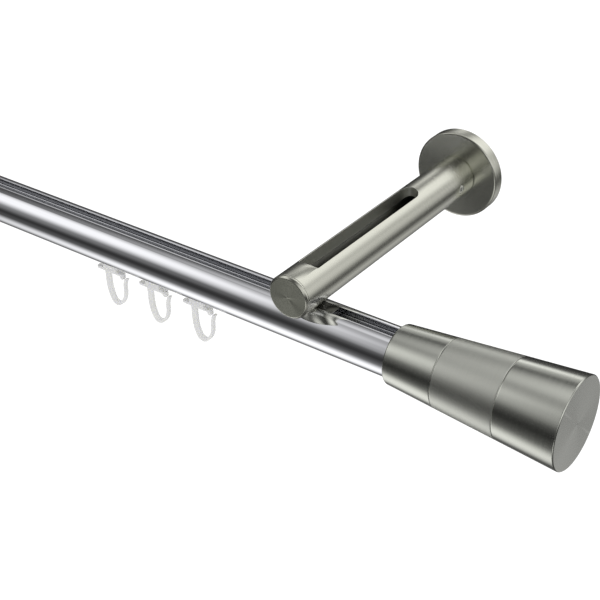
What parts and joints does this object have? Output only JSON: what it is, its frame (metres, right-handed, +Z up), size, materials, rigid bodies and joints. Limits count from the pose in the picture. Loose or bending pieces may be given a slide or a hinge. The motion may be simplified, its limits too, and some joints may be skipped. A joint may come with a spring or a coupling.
{
  "type": "curtain rod",
  "caption": "Round metal curtain rod with a glider track, slotted wall brackets, conical finials and plastic hook gliders.",
  "frame": {"origin": "on the wall, midway between the two wall screws", "axes": "+X along the rod to the right seen from the room, +Y into the wall, +Z up"},
  "size_m": [1.112, 0.1302, 0.0694],
  "materials": {
    "rail": "bright polished extrusion",
    "satin_steel": "satin nickel, turned",
    "zinc_steel": "zinc plated",
    "screw_steel": "plated screw steel",
    "glider": "natural white moulded plastic"
  },
  "bodies": {
    "wall_brackets": {"bracket_arm_left": "satin_steel", "bracket_arm_right": "satin_steel", "arm_front_cap_left": "satin_steel", "arm_front_cap_right": "satin_steel", "rosette_left": "satin_steel", "rosette_right": "satin_steel", "wall_spigot_left": "zinc_steel", "wall_spigot_right": "zinc_steel", "arm_grub_screw_left": "screw_steel", "arm_grub_screw_right": "screw_steel"},
    "clamps": {"clamp_screw_left": "screw_steel", "clamp_screw_right": "screw_steel", "slot_nut_left": "zinc_steel", "slot_nut_right": "zinc_steel"},
    "rod": {"rail": "rail", "finial_sleeve_left": "satin_steel", "finial_sleeve_right": "satin_steel", "finial_middle_left": "satin_steel", "finial_middle_right": "satin_steel", "finial_tip_left": "satin_steel", "finial_tip_right": "satin_steel", "finial_grub_screw_left": "screw_steel", "finial_grub_screw_right": "screw_steel"},
    "glider_1": {"glider_1": "glider"},
    "glider_2": {"glider_2": "glider"},
    "glider_3": {"glider_3": "glider"},
    "glider_4": {"glider_4": "glider"},
    "glider_5": {"glider_5": "glider"},
    "glider_6": {"glider_6": "glider"}
  },
  "joints": [
    {"name": "wall_distance", "type": "slide", "parent": "wall_brackets", "child": "clamps", "axis": [0, 1, 0], "range_m": [-0.0008, 0.0672]},
    {"name": "rod_sideways", "type": "slide", "parent": "clamps", "child": "rod", "axis": [1, 0, 0], "range_m": [-0.032, 0.032]},
    {"name": "glider_1_run", "type": "slide", "parent": "rod", "child": "glider_1", "axis": [1, 0, 0], "range_m": [-0.0945, 0.0033]},
    {"name": "glider_2_run", "type": "slide", "parent": "rod", "child": "glider_2", "axis": [1, 0, 0], "range_m": [-0.0033, 0.0033]},
    {"name": "glider_3_run", "type": "slide", "parent": "rod", "child": "glider_3", "axis": [1, 0, 0], "range_m": [-0.0033, 0.324]},
    {"name": "glider_4_run", "type": "slide", "parent": "rod", "child": "glider_4", "axis": [1, 0, 0], "range_m": [-0.324, 0.0033]},
    {"name": "glider_5_run", "type": "slide", "parent": "rod", "child": "glider_5", "axis": [1, 0, 0], "range_m": [-0.0033, 0.0033]},
    {"name": "glider_6_run", "type": "slide", "parent": "rod", "child": "glider_6", "axis": [1, 0, 0], "range_m": [-0.0033, 0.0945]}
  ]
}
